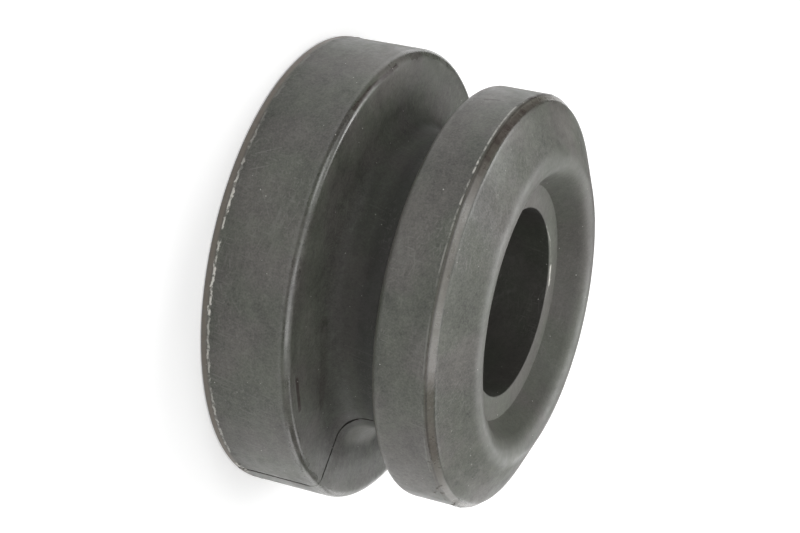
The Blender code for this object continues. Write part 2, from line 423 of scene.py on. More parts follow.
class Sheet:
    """A node tree, with short ways to add its nodes and join them."""

    def __init__(self, tree):
        self.tree = tree

    def node(self, kind, inputs=None, **settings):
        """A node with its settings, and with its inputs by name or number."""
        made = self.tree.nodes.new(kind)
        for name, value in settings.items():
            setattr(made, name, value)
        for key, value in (inputs or {}).items():
            self.feed(made.inputs[key], value)
        return made

    def out(self, kind, inputs=None, output=0, **settings):
        """One output of a new node, by name or number."""
        return Value(self, self.node(kind, inputs, **settings).outputs[output])

    def feed(self, socket, value):
        """Gives an input a plain value, a colour, an output or a list of outputs."""
        source = getattr(value, "socket", value)
        if isinstance(source, bpy.types.NodeSocket):
            self.tree.links.new(source, socket)
        elif isinstance(source, list):
            for one in source:
                self.feed(socket, one)
        else:
            socket.default_value = (*source, 1.0) if socket.type == "RGBA" else source

    def math(self, operation, a, b=0.0, clamp=False):
        return self.out("ShaderNodeMath", {0: a, 1: b}, operation=operation, use_clamp=clamp)

    def vector(self, operation, a, b=(0.0, 0.0, 0.0), output="Vector"):
        return self.out("ShaderNodeVectorMath", {0: a, 1: b}, output, operation=operation)

    def scaled(self, a, scale):
        return self.out("ShaderNodeVectorMath", {0: a, "Scale": scale}, operation="SCALE")

    def length(self, a):
        return self.vector("LENGTH", a, output="Value")

    def distance(self, a, b):
        return self.vector("DISTANCE", a, b, "Value")

    def dot(self, a, b):
        return self.vector("DOT_PRODUCT", a, b, "Value")

    def combine(self, x, y, z):
        return self.out("ShaderNodeCombineXYZ", {0: x, 1: y, 2: z})

    def separate(self, vector):
        return [Value(self, socket) for socket in self.node("ShaderNodeSeparateXYZ", {0: vector}).outputs]

    def fade(self, value, start, end, low=0.0, high=1.0):
        """A smooth step: low up to start, high from end on."""
        sockets = {"Value": value, "From Min": start, "From Max": end, "To Min": low, "To Max": high}
        return self.out("ShaderNodeMapRange", sockets, interpolation_type="SMOOTHSTEP")

    def noise(self, vector, scale, detail=2.0, roughness=0.5):
        """Noise with as many waves in a metre as the scale says."""
        sockets = {"Vector": vector, "Scale": scale, "Detail": detail, "Roughness": roughness}
        return self.out("ShaderNodeTexNoise", sockets)

    def patches(self, vector, scale, detail, *span, roughness=0.5):
        """Noise put through a fade, so that it lies in patches."""
        return self.fade(self.noise(vector, scale, detail, roughness), *span)

    def swept_noise(self, ring, scale, detail=2.0):
        """Noise over a vector and a fourth number."""
        sockets = {"Vector": ring[0], "W": ring[1], "Scale": scale, "Detail": detail}
        return self.out("ShaderNodeTexNoise", sockets, noise_dimensions="4D")

    def mix(self, factor, a, b):
        """One colour faded into another."""
        return self.out("ShaderNodeMix", {0: factor, 6: a, 7: b}, 2, data_type="RGBA")

    def paint(self, base, colour_value, mask, strength):
        """A colour laid over the base where the mask says, at its strength."""
        return self.mix(mask * strength, base, colour_value)

    def shaded(self, a, shade):
        """A colour made lighter or darker by a share."""
        sockets = {0: 1.0, 6: a, 7: shade}
        return self.out("ShaderNodeMix", sockets, 2, data_type="RGBA", blend_type="MULTIPLY")

    def position(self):
        return self.out("GeometryNodeInputPosition")

    def attribute(self, name, kind="FLOAT"):
        return self.out("GeometryNodeInputNamedAttribute", {"Name": name}, data_type=kind)

    def stored(self, geometry, name, value, kind="FLOAT"):
        """The geometry with a named value on its points."""
        sockets = {"Geometry": geometry, "Name": name, "Value": value}
        return self.out("GeometryNodeStoreNamedAttribute", sockets, data_type=kind)

    def moved(self, geometry, **where):
        """The geometry with its points at a Position or by an Offset."""
        return self.out("GeometryNodeSetPosition", {"Geometry": geometry, **where})


SOCKET_TYPES = {
    int: "NodeSocketInt",
    float: "NodeSocketFloat",
    tuple: "NodeSocketVector",
    bpy.types.Object: "NodeSocketObject",
    bpy.types.Material: "NodeSocketMaterial",
}


def geometry_tree(name, values):
    """A geometry node tree with a named input for each value, as its sheet and what comes in by them."""
    tree = bpy.data.node_groups.new(name, "GeometryNodeTree")
    types = {label: SOCKET_TYPES[type(value)] for label, value in values.items()}
    for label, socket_type in {"Geometry": "NodeSocketGeometry", **types}.items():
        tree.interface.new_socket(label, in_out="INPUT", socket_type=socket_type)
    tree.interface.new_socket("Geometry", in_out="OUTPUT", socket_type="NodeSocketGeometry")
    sheet = Sheet(tree)
    sockets = sheet.node("NodeGroupInput").outputs
    return sheet, {socket.name: Value(sheet, socket) for socket in sockets if socket.name}


def end_tree(sheet, geometry, material):
    """The tree's last nodes: real geometry in its material."""
    real = sheet.out("GeometryNodeRealizeInstances", {"Geometry": geometry})
    painted = sheet.out("GeometryNodeSetMaterial", {"Geometry": real, "Material": material})
    sheet.node("NodeGroupOutput", {"Geometry": painted})


def set_inputs(modifier, values):
    """Gives a node modifier its inputs, each by its socket's identifier."""
    sockets = {s.name: s for s in modifier.node_group.interface.items_tree if s.in_out == "INPUT"}
    for name, value in values.items():
        modifier[sockets[name].identifier] = value


def added(name, data):
    """A new object in the scene."""
    obj = bpy.data.objects.new(name, data)
    bpy.context.scene.collection.objects.link(obj)
    return obj


def made_by_nodes(name, mesh, sheet, values):
    """A new object whose plain mesh the node tree makes from the given one."""
    obj = added(name, mesh)
    modifier = obj.modifiers.new("shape", "NODES")
    modifier.node_group = sheet.tree
    set_inputs(modifier, values)
    graph = bpy.context.evaluated_depsgraph_get()
    plain = bpy.data.meshes.new_from_object(
        obj.evaluated_get(graph), preserve_all_data_layers=True, depsgraph=graph
    )
    obj.modifiers.clear()
    obj.data = plain
    plain.name = name
    bpy.data.meshes.remove(mesh)
    if not plain.polygons:
        raise RuntimeError(f"{name} came out empty")
    while plain.materials[0] is None:
        plain.materials.pop(index=0)
    return obj


def turned(sheet, sockets):
    """The section turned round the bore: a grid whose rows are the section's points."""
    section = sockets["Geometry"]
    rows = sheet.out("GeometryNodeAttributeDomainSize", {"Geometry": section}, "Point Count")
    counts = {"Vertices X": sockets["Turn Steps"] + 1.0, "Vertices Y": rows}
    grid = sheet.node("GeometryNodeMeshGrid", counts).outputs
    u, v, _ = sheet.separate(grid["UV Map"])
    row = sheet.math("ROUND", v * (rows - 1.0))

    def sampled(value, kind):
        """What the value is at the section's point for each row."""
        inputs = {"Geometry": section, "Value": value, "Index": row}
        return sheet.out("GeometryNodeSampleIndex", inputs, data_type=kind)

    radius, _, height = sheet.separate(sampled(sheet.position(), "FLOAT_VECTOR"))
    raised = sampled(sheet.attribute("raised"), "FLOAT")
    marked = sheet.stored(grid["Mesh"], "raised", raised)
    angle = u * (2 * pi)
    x = radius * sheet.math("COSINE", angle)
    y = radius * sheet.math("SINE", angle)
    wall = sheet.moved(marked, Position=sheet.combine(x, y, height))
    joined = sheet.out("GeometryNodeMergeByDistance", {"Geometry": wall, "Distance": SEAM_DISTANCE})
    return sheet.out("GeometryNodeFlipFaces", {"Mesh": joined})


def uneven(sheet, sockets, geometry):
    """Lets the skin sink slightly in slow waves, and raises the ragged parting lines."""
    place = sheet.position()
    raised = sheet.attribute("raised")
    waves = sheet.noise(place, 1.0 / sockets["Relief Size"], 3.0)
    clear = sheet.fade(sheet.separate(place)[2], 0.0003, 0.0015)
    sink = waves * clear * sockets["Relief Depth"]
    sunk = sheet.scaled(sheet.out("GeometryNodeInputNormal"), sink * -1.0)
    breaks = sheet.noise(place, 1.0 / sockets["Ragged Size"], 3.0, 0.6)
    ridge = sheet.math("MAXIMUM", raised, 0.0) * sheet.fade(breaks, 0.42, 0.60, 0.15, 1.0)
    rise = (ridge + sheet.math("MINIMUM", raised, 0.0)) * sockets["Parting Rise"]
    outward = sheet.vector("NORMALIZE", sheet.vector("MULTIPLY", place, (1.0, 1.0, 0.0)))
    return sheet.moved(geometry, Offset=sheet.vector("ADD", sunk, sheet.scaled(outward, rise)))


def blade(sheet, sockets):
    """The knife's path: a thin wandering sheet, wider where the cut gapes at the neck."""
    inner, outer, bottom, top = (sockets[f"Cut {side}"] for side in ("Inner", "Outer", "Bottom", "Top"))
    size = sheet.combine(outer - inner, 1.0, top - bottom)
    middle = sheet.combine((outer + inner) * 0.5, 0.0, (top + bottom) * 0.5)
    counts = {"Vertices X": BLADE_COLUMNS, "Vertices Y": 2, "Vertices Z": BLADE_ROWS}
    cube = sheet.out("GeometryNodeMeshCube", {"Size": size, **counts}, "Mesh")
    slab = sheet.out("GeometryNodeTransform", {"Geometry": cube, "Translation": middle})
    x, y, z = sheet.separate(sheet.position())
    flat = sheet.combine(x, 0.0, z)
    gape = 0.0
    for name in ("Gape Low", "Gape High"):
        gape = sheet.fade(sheet.distance(flat, sockets[name]), 0.0, 0.0012, 1.0, 0.0) + gape
    open_share = sheet.fade(sheet.distance(flat, sockets["Rim"]), 0.0006, 0.0016, 0.12, 1.0)
    skin = sheet.separate(sockets["Rim"])[0]
    flare = sheet.fade(x, skin - 0.0012, skin - 0.0003, 1.0, 1.8)
    uneven_share = sheet.fade(sheet.noise(flat, 900.0), 0.3, 0.7, 0.80, 1.15)
    width = sockets["Cut Width"] * (open_share * flare) * uneven_share + gape * sockets["Cut Gape"]
    wander = (sheet.noise(flat, 160.0) - 0.5) * sockets["Cut Wander"]
    return sheet.moved(slab, Position=sheet.combine(x, y * width + wander, z))


def gouges(sheet, sockets):
    """Thin cutters along the nicks, each pointed at both ends."""
    lines = sheet.out("GeometryNodeObjectInfo", {"Object": sockets["Nicks"]}, "Geometry")
    curves = sheet.out("GeometryNodeMeshToCurve", {"Mesh": lines})
    circle = sheet.out("GeometryNodeCurvePrimitiveCircle", {"Resolution": NICK_SIDES, "Radius": 1.0}, "Curve")
    inputs = {"Curve": curves, "Profile Curve": circle, "Scale": sheet.attribute("girth"), "Fill Caps": True}
    return sheet.out("GeometryNodeFlipFaces", {"Mesh": sheet.out("GeometryNodeCurveToMesh", inputs)})


def body_tree(values):
    """Turns a section into the rubber body, makes its skin uneven and cuts it."""
    sheet, sockets = geometry_tree("turned_rubber", values)
    rubber = uneven(sheet, sockets, turned(sheet, sockets))
    for cutter in (blade(sheet, sockets), gouges(sheet, sockets)):
        sides = {"Mesh 1": rubber, "Mesh 2": cutter}
        rubber = sheet.out("GeometryNodeMeshBoolean", sides, "Mesh", operation="DIFFERENCE", solver="EXACT")
    end_tree(sheet, rubber, sockets["Rubber"])
    return sheet


def marked_mesh(name, points, edges, **marks):
    """Points and edges whose points carry marks: a number or a direction each."""
    mesh = bpy.data.meshes.new(name)
    mesh.from_pydata(points, edges, [])
    for mark, values in marks.items():
        if isinstance(values[0], float):
            mesh.attributes.new(mark, "FLOAT", "POINT").data.foreach_set("value", values)
        else:
            numbers = [number for value in values for number in value]
            mesh.attributes.new(mark, "FLOAT_VECTOR", "POINT").data.foreach_set("vector", numbers)
    return mesh


def section_mesh(section):
    """The section as a chain of edges in the plane of +X and +Z, with its raised points marked."""
    points = [(radius, 0.0, height) for radius, height in section.points]
    edges = [(i, i + 1) for i in range(len(points) - 1)]
    return marked_mesh("section", points, edges, raised=section.raised)


def nicks_object(nicks):
    """Lines along the nicks, whose points carry their girth: none at the ends and most in the middle."""
    points, edges, girths = [], [], []
    for start, end, girth in nicks:
        edges += [(i, i + 1) for i in range(len(points), len(points) + NICK_STEPS)]
        shares = [i / NICK_STEPS for i in range(NICK_STEPS + 1)]
        points += [start.lerp(end, share) for share in shares]
        girths += [girth * max(0.05, sin(pi * share)) for share in shares]
    return added("nicks", marked_mesh("nicks", points, edges, girth=girths))


def make_body(shape, relief, nicks, material):
    """The whole rubber piece, with smooth faces between its edges."""
    fillet = shape.groove_fillet
    lines = nicks_object(nicks)
    values = {
        "Turn Steps": shape.turn_steps,
        "Relief Depth": relief.depth,
        "Relief Size": relief.size,
        "Parting Rise": shape.parting_rise,
        "Ragged Size": relief.ragged_size,
        "Cut Inner": shape.bore_radius - BLADE_SPARE,
        "Cut Outer": shape.large_radius + BLADE_SPARE,
        "Cut Bottom": -BLADE_SPARE,
        "Cut Top": shape.groove_ceiling - relief.cut_stop,
        "Cut Width": relief.cut_width,
        "Cut Gape": relief.cut_gape,
        "Cut Wander": relief.cut_wander,
        "Gape Low": (shape.neck_radius + 0.3 * fillet, 0.0, shape.groove_floor + 0.3 * fillet),
        "Gape High": (shape.neck_radius, 0.0, shape.groove_ceiling - fillet),
        "Rim": (shape.large_radius, 0.0, shape.groove_floor),
        "Nicks": lines,
        "Rubber": material,
    }
    body = made_by_nodes("rubber_body", section_mesh(bushing_section(shape)), body_tree(values), values)
    bpy.data.objects.remove(lines)
    body.data.shade_smooth()
    body.data.set_sharp_from_angle(angle=SHARP_ANGLE)
    return body


def object_material(name):
    """A new material, with its sheet, its shader and its Object coordinates."""
    material = bpy.data.materials.new(name)
    material.use_nodes = True
    sheet = Sheet(material.node_tree)
    place = sheet.out("ShaderNodeTexCoord", output="Object")
    return material, sheet, material.node_tree.nodes["Principled BSDF"].inputs, place


def rubber_material(rubber, shape, marks):
    """Dull moulded rubber: greys in clouds, pale film, torn parting lines, painted shade in the groove, the
    bore and the crease, dark and pale streaks that are partly painted shade and painted highlight, scratches
    and grain.
    """
    material, sheet, inputs, place = object_material("moulded_rubber")
    x, y, z = sheet.separate(place)
    radius = sheet.length(sheet.combine(x, y, 0.0))
    reach = (shape.large_radius / RING_STRETCH) / radius
    ring = (sheet.combine(x * reach, y * reach, z), radius)
    film = pale_film(sheet, place, ring)
    outer = sheet.fade(radius, shape.neck_radius - 0.0006, shape.neck_radius + 0.0024, 0.55, 1.0)
    lines = sheet.noise(sheet.scaled(sheet.combine(radius, z, 0.0), 2600.0), 1.0, 2.0)
    rubbed = rubbed_rims(sheet, shape, place, radius, z)

    clouds = sheet.patches(place, 170.0, 3.0, 0.38, 0.62)
    base = sheet.mix(clouds, rubber.green_grey, rubber.violet_grey)
    base = sheet.shaded(base, mottling(sheet, place, ring, outer))
    base = sheet.paint(base, rubber.bloom, film, rubber.film_strength)
    # Painted shade deep in the groove, under the small flange, and on the bore's wall
    base = sheet.shaded(base, groove_painted_shade(sheet, shape, radius, z))
    base = paint_trimmed_strip(sheet, rubber, shape, place, z, base)
    # A paler brownish tint on the steep bevel: partly the rubber's own colour there, partly a painted
    # highlight
    base = sheet.paint(base, rubber.trimmed_and_highlight, bevel_strip(sheet, shape, radius, z), 0.35)
    base = sheet.shaded(base, sheet.fade(lines, 0.25, 0.75, 0.98, 1.02))
    base = sheet.paint(base, rubber.bloom, flecks(sheet, place), 0.5)
    base = sheet.paint(base, rubber.bloom, hair_scratches(sheet, place) * outer, 0.5)
    breaks = sheet.noise(place, 1600.0, 3.0, 0.6)
    base = paint_parting_lines(sheet, rubber, shape, place, z, breaks, marks["flash"], base)
    # Streaks in their colours. The dark ones are partly real marks and partly painted shade and painted dark
    # reflections, and they dull the gloss; one pale streak is a painted highlight and one a painted pool of
    # light
    stain_and_shade_share = 0.0
    for colour_name, rows in marks["streaks"].items():
        for start, end, reach, strength, least in rows:
            mark = streak_mask(sheet, place, breaks, start, end, reach, least)
            base = sheet.paint(base, getattr(rubber, colour_name), mark, strength)
            if colour_name == "stain":
                stain_and_shade_share = sheet.math("MAXIMUM", mark, stain_and_shade_share)
    sheet.feed(inputs["Base Color"], base)

    worn = sheet.patches(place, 240.0, 3.0, 0.3, 0.7, -0.06, 0.06)
    fine = sheet.patches(place, 1300.0, 2.0, 0.3, 0.7, -0.04, 0.04)
    dusty = sheet.fade(radius, shape.neck_radius + shape.groove_fillet, shape.small_radius, 0.16, 0.0)
    dull = film * 0.12 + (worn + fine) + (rubbed * -rubber.polish + dusty)
    sheet.feed(inputs["Roughness"], dull + rubber.roughness)
    gloss = (rubbed * RUBBED_GLOSS + CLEAN_GLOSS) * (1.0 - stain_and_shade_share * STAIN_AND_SHADE_DULLS)
    sheet.feed(inputs["Specular IOR Level"], gloss)

    relief = sheet.noise(place, 3800.0, 3.0, 0.6) * 0.25 + sheet.noise(place, 750.0, 2.0) * 0.75
    relief = relief + lines * 0.08
    grain = {"Strength": BUMP_STRENGTH - rubbed * RUBBED_CALM, "Distance": BUMP_DEPTH, "Height": relief}
    sheet.feed(inputs["Normal"], sheet.out("ShaderNodeBump", grain))
    return material


def mottling(sheet, place, ring, share):
    """How much lighter or darker each spot is, in patches of several sizes."""
    sway = 0.0
    for size, strength in MOTTLE:
        sway = (sheet.noise(place, 1 / size, 1.0) - 0.5) * strength + sway
    for size, strength in RING_MOTTLE:
        sway = (sheet.swept_noise(ring, 1 / size, 1.0) - 0.5) * strength + sway
    return sway * share + 1.0


def pale_film(sheet, place, ring):
    """Blotches of a pale film, drawn out round the bore and broken into grains."""
    blotches = sheet.fade(sheet.swept_noise(ring, 900.0, 3.0), 0.52, 0.74)
    drifts = sheet.patches(place, 110.0, 2.0, 0.42, 0.66)
    return blotches * drifts * sheet.patches(place, 2400.0, 2.0, 0.38, 0.68, 0.35, 1.0)


def groove_painted_shade(sheet, shape, radius, z):
    """How much painted shade darkens the rubber: most of all deep in the groove, under the small flange, and
    also on the bore's wall.
    """
    ceiling = shape.groove_ceiling
    bore = shape.bore_radius
    high = sheet.fade(z, ceiling - 0.0055, ceiling - 0.0030)
    below = sheet.fade(z, ceiling + 0.0002, ceiling + 0.0006, 1.0, 0.0)
    inside = sheet.fade(radius, shape.neck_radius + 0.0020, shape.small_radius - shape.small_rim, 1.0, 0.0)
    deep_groove_shade = high * below * (inside * sheet.fade(radius, bore + 0.001, bore + 0.002))
    # The bore's wall is darkened as well: painted shade
    in_bore = sheet.fade(radius, bore + 0.00005, bore + 0.00015, BORE_SHADE, 1.0)
    return sheet.fade(deep_groove_shade, 0.0, 1.0, 1.0, GROOVE_PAINTED_SHADE) * in_bore


def rubbed_rims(sheet, shape, place, radius, z):
    """How much the rims and the ridge of the nose are rubbed smooth, in uneven stretches."""
    section = sheet.combine(radius, z, 0.0)
    share = 0.0
    for rim, reach in (
        ((shape.large_radius - shape.large_rim / 2, shape.groove_floor - shape.large_rim / 2), 0.0008),
        ((shape.small_radius - 0.65 * shape.bevel_width, shape.rim_top + 0.65 * shape.bevel_height), 0.0007),
        ((shape.bore_radius + shape.lip_width + shape.dish_run, shape.rim_top + shape.nose_rise), 0.0014),
    ):
        away = sheet.distance(section, (*rim, 0.0))
        share = sheet.fade(away, 0.3 * reach, 1.2 * reach, 1.0, 0.0) + share
    return share * sheet.patches(place, 200.0, 2.0, 0.30, 0.65, 0.6, 1.0)


def paint_trimmed_strip(sheet, rubber, shape, place, z, base):
    """The brownish strip below the lower parting line, with rough light flecks and a light outer edge."""
    parting = shape.parting_height
    strip = sheet.fade(z, 0.6 * parting, parting, 1.0, 0.0)
    base = sheet.paint(base, rubber.trimmed_and_highlight, strip, 0.85)
    rough = sheet.patches(place, 2300.0, 3.0, 0.54, 0.64, roughness=0.6)
    stretches = sheet.patches(place, 150.0, 2.0, 0.40, 0.62, 0.15, 1.0)
    base = sheet.paint(base, rubber.worn, rough * strip * stretches, 0.8)
    edge = sheet.fade(z, 0.4 * shape.end_edge, shape.end_edge, 0.5, 0.0)
    return sheet.mix(edge, base, rubber.worn)


def bevel_strip(sheet, shape, radius, z):
    """The steep bevel above the small flange's rim."""
    low = sheet.fade(z, shape.rim_top, shape.rim_top + 0.0001)
    top = shape.rim_top + shape.bevel_height
    high = sheet.fade(z, top - 0.2 * shape.bevel_height, top, 1.0, 0.0)
    ridge = shape.small_radius - shape.bevel_width
    return low * high * sheet.fade(radius, ridge - 0.0002, ridge)


def hair_scratches(sheet, place):
    """Sparse faint scratches, thin as hair, which run in a few ways."""
    share = 0.0
    for way in HAIR_WAYS:
        way = Vector(way).normalized()
        along = sheet.dot(place, tuple(way * (HAIR_ALONG - HAIR_ACROSS)))
        drawn = sheet.vector("ADD", sheet.scaled(place, HAIR_ACROSS), sheet.scaled(tuple(way), along))
        share = sheet.math("MAXIMUM", sheet.patches(drawn, 1.0, 1.0, 0.62, 0.76), share)
    return share * sheet.patches(place, 130.0, 1.0, 0.40, 0.60)


def flecks(sheet, place):
    """Rare small pale flecks."""
    specks = sheet.node("ShaderNodeTexVoronoi", {"Vector": place, "Scale": 900.0, "Randomness": 1.0}).outputs
    rare = sheet.fade(sheet.separate(specks["Color"])[0], 0.78, 0.90)
    return sheet.fade(specks["Distance"], 0.05, 0.12, 1.0, 0.0) * rare


def paint_parting_lines(sheet, rubber, shape, place, z, breaks, flash, base):
    """Greyish dashes along both parting lines, white where the flash tore off, and painted shade in the
    crease.
    """
    raised = sheet.out("ShaderNodeAttribute", output="Fac", attribute_name="raised")
    drift = (sheet.noise(place, 1100.0, 3.0, 0.6) - 0.5) * 0.0008
    off = sheet.math("ABSOLUTE", z + drift - shape.parting_height)
    jagged = sheet.fade(off, 0.00006, 0.00015, 1.0, 0.0)
    ridge = sheet.math("MAXIMUM", sheet.fade(raised, 0.10, 0.60) * 0.8, jagged)
    dashes = sheet.patches(place, 330.0, 3.0, 0.44, 0.60, roughness=0.6)
    base = sheet.paint(base, rubber.worn, ridge * dashes, 0.8)
    for start, end, strength in flash:
        mark = streak_mask(sheet, place, breaks, start, end, FLASH_REACH, 0.1) * ridge
        base = sheet.paint(base, rubber.torn, mark, strength)
    # The crease above the small flange's parting line is darkened: painted shade
    crease = sheet.fade(raised, -0.9, -0.2, 1.0, 0.0)
    return sheet.shaded(base, sheet.fade(crease, 0.0, 1.0, 1.0, CREASE_SHADE))


def streak_mask(sheet, place, breaks, start, end, reach, least):
    """How much a point lies on a thin streak from start to end, which the breaks wear down to its least."""
    along = Vector(end) - Vector(start)
    off = sheet.vector("SUBTRACT", place, tuple(start))
    share = sheet.dot(off, tuple(along / along.length_squared))
    held = sheet.math("ADD", share, 0.0, clamp=True)
    away = sheet.length(sheet.vector("SUBTRACT", off, sheet.scaled(tuple(along), held)))
    return sheet.fade(away, 0.35 * reach, reach, 1.0, 0.0) * sheet.fade(breaks, 0.38, 0.56, least, 1.0)


def plain_material(name, colour_value, roughness):
    """A dull material whose colour varies slightly from grain to grain."""
    material, sheet, inputs, place = object_material(name)
    grains = sheet.fade(sheet.noise(place, 2500.0), 0.3, 0.7, 0.75, 1.0)
    sheet.feed(inputs["Base Color"], sheet.shaded(colour_value, grains))
    inputs["Roughness"].default_value = roughness
    return material


def camera_matrix(studio):
    """The camera's place and turn: its view from its place to its aim, rolled about that view."""
    place = Vector(studio.camera_place)
    view = Vector(studio.camera_aim) - place
    turn = view.to_track_quat("-Z", "Y") @ Quaternion((0.0, 0.0, 1.0), studio.camera_roll)
    return Matrix.Translation(place) @ turn.to_matrix().to_4x4()


def pixel_direction(studio, pixel):
    """The direction in which the camera sees a pixel of the picture."""
    focal = studio.camera_lens / SENSOR_WIDTH_MM * PICTURE_WIDTH
    x = (pixel[0] + 0.5 - PICTURE_WIDTH / 2) / focal
    y = (PICTURE_HEIGHT / 2 - pixel[1] - 0.5) / focal
    return (camera_matrix(studio).to_3x3() @ Vector((x, y, -1.0))).normalized()


def seen_on(surface, studio, pixel):
    """Where the camera's line through a pixel meets the surface, and which way the surface faces there."""
    hit, normal, _, _ = surface.ray_cast(Vector(studio.camera_place), pixel_direction(studio, pixel))
    if hit is None:
        raise RuntimeError(f"the pixel {pixel} doesn't fall on the rubber")
    return hit, normal


def surface_of(obj):
    """The object's surface, to cast lines on."""
    return BVHTree.FromObject(obj, bpy.context.evaluated_depsgraph_get())


def flake_tree(name, values):
    """Small uneven flakes on marked points, and spread at random over a surface."""
    sheet, sockets = geometry_tree(name, values)
    size = sockets["Flake Size"]
    seed = {"Seed": sockets["Seed"]}

    def random(least, most):
        """A random number for each flake."""
        return sheet.out("FunctionNodeRandomValue", {2: least, 3: most, **seed}, 1, data_type="FLOAT")

    surface = sheet.out("GeometryNodeObjectInfo", {"Object": sockets["Surface"]}, "Geometry")
    spreading = {"Mesh": surface, "Density": sockets["Spread Density"], **seed}
    spread = sheet.node("GeometryNodeDistributePointsOnFaces", spreading).outputs
    faced = sheet.stored(spread["Points"], "facing", spread["Normal"], "FLOAT_VECTOR")
    sized = sheet.stored(faced, "girth", random(0.5, 1.1))
    marked = sheet.out("GeometryNodeMeshToPoints", {"Mesh": sockets["Geometry"]})
    points = sheet.out("GeometryNodeJoinGeometry", {"Geometry": [marked, sized]})

    ball = sheet.out("GeometryNodeMeshIcoSphere", {"Radius": size, "Subdivisions": 2}, "Mesh")
    scale = sheet.combine(sockets["Stretch"], FLAKE_BREADTH, sockets["Flatness"])
    flat = sheet.out("GeometryNodeTransform", {"Geometry": ball, "Scale": scale})
    facing = {"Vector": sheet.attribute("facing", "FLOAT_VECTOR")}
    upright = sheet.out("FunctionNodeAlignRotationToVector", facing, axis="Z")
    turn = {"Axis": (0.0, 0.0, 1.0), "Angle": random(0.0, 2 * pi)}
    both = {"Rotation": upright, "Rotate By": sheet.out("FunctionNodeAxisAngleToRotation", turn)}
    rotation = sheet.out("FunctionNodeRotateRotation", both, rotation_space="LOCAL")
    placing = {"Points": points, "Instance": flat, "Rotation": rotation, "Scale": sheet.attribute("girth")}
    flakes = sheet.out("GeometryNodeInstanceOnPoints", placing)
    real = sheet.out("GeometryNodeRealizeInstances", {"Geometry": flakes})

    place = sheet.position()
    jag = sheet.out("ShaderNodeTexNoise", {"Vector": place, "Scale": 0.9 / size}, "Color")
    push = sheet.vector("SUBTRACT", jag, (0.5, 0.5, 0.5))
    moved = sheet.vector("ADD", place, sheet.scaled(push, size * sockets["Roughness"]))
    held = sheet.vector("MINIMUM", sheet.vector("MAXIMUM", moved, sockets["Lowest"]), sockets["Highest"])
    end_tree(sheet, sheet.moved(real, Position=held), sockets["Finish"])
    return sheet


def make_flakes(scene, name, seen, values):
    """Flakes on the rubber, at the pixels seen and spread at random, which stay inside its overall box."""
    body = bpy.data.objects["rubber_body"]
    surface = surface_of(body)
    places = [seen_on(surface, scene.bushing_studio, (x, y)) for x, y, _ in seen]
    hits, normals = zip(*places)
    mesh = marked_mesh(name, hits, [], facing=normals, girth=[girth for _, _, girth in seen])
    values = {"Surface": body, "Lowest": tuple(cad_box[0]), "Highest": tuple(cad_box[1]), **values}
    flakes = made_by_nodes(name, mesh, flake_tree(name, values), values)
    flakes.data.shade_smooth()
    return flakes


class BUSHING_OT_body(bpy.types.Operator):
    """Turn and cut the rubber body, and give it its rubber"""

    bl_idname = "bushing.body"
    bl_label = "Rubber Body"

    def execute(self, context):
        scene = context.scene
        studio = scene.bushing_studio
        surface = surface_of(frame["nodes"][CAD_NODE])

        def placed(rows):
            """Each row with its two pixels turned into places on the rubber."""
            return [(*(seen_on(surface, studio, pixel)[0] for pixel in row[:2]), *row[2:]) for row in rows]

        streaks = {colour_name: placed(rows) for colour_name, rows in STREAKS_SEEN.items()}
        marks = {"streaks": streaks, "flash": placed(FLASH_SEEN)}
        rubber = rubber_material(scene.bushing_rubber, scene.bushing_shape, marks)
        nicks = []
        for first, last, girth, depth in NICKS_SEEN:
            ends = [seen_on(surface, studio, pixel) for pixel in (first, last)]
            nicks.append((*(hit - depth * normal for hit, normal in ends), girth))
        body = make_body(scene.bushing_shape, scene.bushing_relief, nicks, rubber)
        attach(body, BODY)
        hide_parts(CAD_NODE)
        return {"FINISHED"}


class BUSHING_OT_crumbs(bpy.types.Operator):
    """Leave crumbs of torn flash on the parting lines"""

    bl_idname = "bushing.crumbs"
    bl_label = "Torn Flash"

    def execute(self, context):
        scene = context.scene
        values = {
            **CRUMB_FORM,
            "Flake Size": scene.bushing_relief.crumb_size,
            "Spread Density": 0.0,
            "Finish": plain_material("torn_rubber", scene.bushing_rubber.crumbs, 0.7),
        }
        crumbs = make_flakes(scene, "torn_flash", CRUMBS_SEEN, values)
        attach(crumbs, BODY)
        return {"FINISHED"}


class BUSHING_OT_dust(bpy.types.Operator):
    """Scatter pale dust over the rubber"""

    bl_idname = "bushing.dust"
    bl_label = "Dust"

    def execute(self, context):
        scene = context.scene
        values = {
            **DUST_FORM,
            "Flake Size": scene.bushing_relief.dust_size,
            "Spread Density": scene.bushing_relief.dust_per_area,
            "Finish": plain_material("pale_dust", scene.bushing_rubber.dust, 0.8),
        }
        dust = make_flakes(scene, "dust_specks", DUST_SEEN, values)
        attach(dust, BODY)
        return {"FINISHED"}


WHITE = (1.0, 1.0, 1.0)


def floor_material(studio):
    """Plain pale floor. The camera and reflections see it lifted towards white."""
    material = bpy.data.materials.new("pale_floor")
    material.use_nodes = True
    sheet = Sheet(material.node_tree)
    nodes = material.node_tree.nodes
    shader = nodes["Principled BSDF"]
    sheet.feed(shader.inputs["Base Color"], (studio.floor_shade,) * 3)
    shader.inputs["Roughness"].default_value = 1.0
    shader.inputs["Specular IOR Level"].default_value = 0.0
    path = sheet.node("ShaderNodeLightPath").outputs
    seen = sheet.math("MAXIMUM", path["Is Camera Ray"], path["Is Glossy Ray"])
    lift = sheet.out("ShaderNodeEmission", {"Strength": seen * studio.floor_lift})
    both = sheet.out("ShaderNodeAddShader", {0: shader.outputs[0], 1: lift})
    sheet.feed(nodes["Material Output"].inputs["Surface"], both)
    return material


def make_floor(studio):
    """A large flat floor under the bushing's flat end."""
    half = studio.floor_size / 2
    corners = [(-half, -half, 0.0), (half, -half, 0.0), (half, half, 0.0), (-half, half, 0.0)]
    mesh = bpy.data.meshes.new("studio_floor")
    mesh.from_pydata(corners, [], [(0, 1, 2, 3)])
    mesh.materials.append(floor_material(studio))
    return added("studio_floor", mesh)


